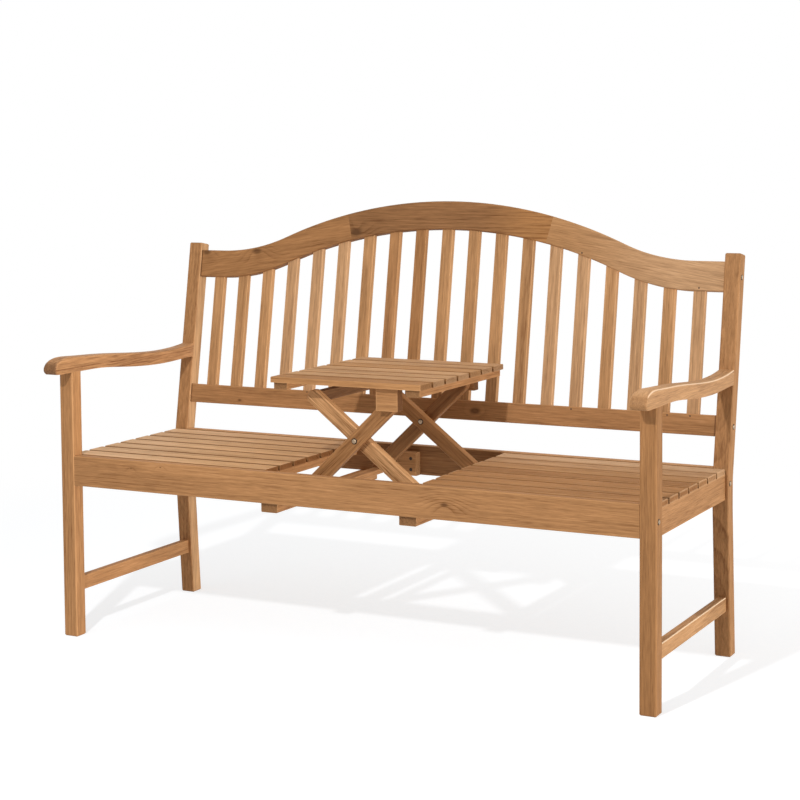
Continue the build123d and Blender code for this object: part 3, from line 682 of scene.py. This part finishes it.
def floorFinish(own):
    # plain white to the camera, dimmed where the lamps are shaded
    finish = newFinish("studio_floor")
    finish.tree.nodes.remove(finish.shader)
    # shaded as if tipped towards the key lamp, so that its shadows tell most
    place = finish.add("ShaderNodeTexCoord", None, None, "Object")
    toLamp = finish.vector("SUBTRACT", keySettings["place"], place)
    aim = finish.vector("NORMALIZE", toLamp)
    distance = finish.vector("LENGTH", toLamp, out="Value")
    upright = finish.split(aim)[2]
    # what the unshaded floor gets is made up to white, so only the shadows are left
    keyPart = distance ** -2.0 * (keySettings["power"] / (4 * math.pi ** 2))
    fillPart = finish.vector("DOT_PRODUCT", aim, fillWay, "Value").use("MAXIMUM", 0.0)
    light = keyPart + fillPart * (fillSettings["energy"] / math.pi)
    for sort in ("ambient", "overhead"):
        steady, rising = own[sort + "Share"]
        light = light + (steady + upright * rising) * own[sort]
    tone, cool = own["shadowTone"], own["cool"]
    lift = own["white"] - light * tone
    shaded = finish.add("ShaderNodeBsdfDiffuse", None,
                        {"Color": (tone * (1 - cool), tone, tone * (1 + cool), 1), "Normal": aim})
    glow = finish.add("ShaderNodeEmission", None, {"Color": finish.mix(lift, black, white), "Strength": 1.0})
    shown = finish.add("ShaderNodeAddShader", None, {0: shaded, 1: glow})
    bounce = finish.add("ShaderNodeBsdfDiffuse", None, {"Color": (own["bounceTone"],) * 3 + (1,)})
    # far from the bench the floor is plain white, so no horizon shows
    plain = finish.add("ShaderNodeEmission", None, {"Color": white, "Strength": 1.0})
    far = finish.smooth(finish.vector("LENGTH", place, out="Value"), *own["shadowReach"])
    shown = finish.add("ShaderNodeMixShader", None, {0: far, 1: shown, 2: plain})
    both = finish.add("ShaderNodeMixShader", None, {0: finish.seen(), 1: bounce, 2: shown})
    finish.feed(finish.output.inputs["Surface"], both)
    return finish.owner


floorMesh = bpy.data.meshes.new("studio_floor")
floorForm = bmesh.new()
bmesh.ops.create_grid(floorForm, x_segments=1, y_segments=1, size=roomSettings["floorSize"] / 2)
floorForm.to_mesh(floorMesh)
floorForm.free()
floorMesh.materials.append(floorFinish(roomSettings))
floor = bpy.data.objects.new("studio_floor", floorMesh)
bpy.context.scene.collection.objects.link(floor)

world = bpy.data.worlds.new("studio")
bpy.context.scene.world = world
sky = Finish(world, "Background", "World Output")
height = sky.split(sky.add("ShaderNodeTexCoord", None, None, "Generated"))[2].use("MAXIMUM", 0.0)
level = roomSettings["ambient"] + height * roomSettings["overhead"]
sky.surface(Color=sky.mix(level, black, white), Strength=1.0)
backdrop = sky.add("ShaderNodeBackground", None, {"Color": white, "Strength": 1.0})
around = sky.add("ShaderNodeMixShader", None,
                 {0: sky.seen(), 1: Value(sky, sky.shader.outputs[0]), 2: backdrop})
sky.feed(sky.output.inputs["Surface"], around)

keyLight = bpy.data.lights.new("lamp_key", "POINT")
keyLight.energy = keySettings["power"]
keyLight.shadow_soft_size = keySettings["size"]
keyLamp = bpy.data.objects.new("lamp_key", keyLight)
keyLamp.location = keySettings["place"]
bpy.context.scene.collection.objects.link(keyLamp)

fillLight = bpy.data.lights.new("lamp_fill", "SUN")
fillLight.energy = fillSettings["energy"]
fillLight.angle = math.radians(fillSettings["spread"])
fillLight.use_shadow = False  # stands in for a wide white wall
fillLamp = bpy.data.objects.new("lamp_fill", fillLight)
fillLamp.rotation_euler = fillWay.to_track_quat("Z", "Y").to_euler()
fillLamp.location = fillWay * fillSettings["away"]
bpy.context.scene.collection.objects.link(fillLamp)
bpy.context.scene.view_settings.view_transform = "Standard"
print("floor and light set")

# Camera, from the photograph's vanishing lines

cameraSettings = {
    "place": (2.0063, -3.8351, 1.1663), "round": 27.32, "down": 4.10, "roll": -0.43,
    "lens": 83.937, "sensor": 36, "shiftY": -0.148, "clipEnd": 200}


def aimCamera(own):
    turn, down, roll = (math.radians(own[key]) for key in ("round", "down", "roll"))
    right = Vector((math.cos(turn), math.sin(turn), 0))
    level = Vector((-math.sin(turn), math.cos(turn), 0))
    ahead = math.cos(down) * level - math.sin(down) * Vector(zWay)
    upright = math.cos(down) * Vector(zWay) + math.sin(down) * level
    rolledRight = math.cos(roll) * right + math.sin(roll) * upright
    rolledUp = math.cos(roll) * upright - math.sin(roll) * right
    data = bpy.data.cameras.new("camera")
    data.sensor_width = own["sensor"]
    data.lens = own["lens"]
    data.shift_y = own["shiftY"]
    data.clip_end = own["clipEnd"]
    camera = bpy.data.objects.new("camera", data)
    camera.matrix_world = Matrix.Translation(own["place"]) @ Matrix(
        (rolledRight, rolledUp, -ahead)).transposed().to_4x4()
    bpy.context.scene.collection.objects.link(camera)
    bpy.context.scene.camera = camera


aimCamera(cameraSettings)
print("camera set")
